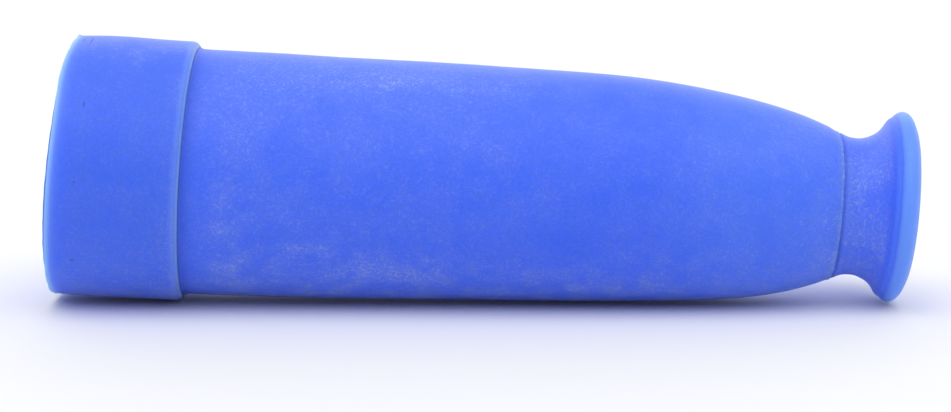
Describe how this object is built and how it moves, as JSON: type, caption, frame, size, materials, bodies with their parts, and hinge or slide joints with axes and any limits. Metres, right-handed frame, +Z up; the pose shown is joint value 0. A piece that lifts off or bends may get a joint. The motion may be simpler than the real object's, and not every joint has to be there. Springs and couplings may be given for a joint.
{
  "type": "pipette filler bulb",
  "caption": "Soft squeeze bulb with a thick collar cap at its wide end and a flared trumpet mouth that grips the top of a pipette to draw liquid up.",
  "frame": {"origin": "centre of the footprint, on the surface the bulb lies on", "axes": "+X along the bulb towards the mouth, +Z up, +Y away from the viewer; the bulb's own axis leans down towards the mouth by 2.18 degrees because it lies on the collar's edge and its belly"},
  "size_m": [0.1038, 0.032, 0.0322],
  "materials": {
    "silicone_body": "blue translucent silicone rubber, satin with a dusting of talc",
    "silicone_cap": "blue translucent silicone rubber, smooth satin",
    "silicone_mouth": "blue translucent silicone rubber, satin with a polished lip"
  },
  "bodies": {
    "body": {"squeeze_body": "silicone_body"},
    "cap": {"end_cap": "silicone_cap"},
    "mouth": {"mouthpiece": "silicone_mouth"}
  },
  "joints": [
    {"name": "cap_pull", "type": "slide", "parent": "body", "child": "cap", "axis": [-0.9993, 0, 0.0381], "range_m": [0, 0.018]},
    {"name": "mouthpiece_pull", "type": "slide", "parent": "body", "child": "mouth", "axis": [0.9993, 0, -0.0381], "range_m": [0, 0.012]}
  ]
}
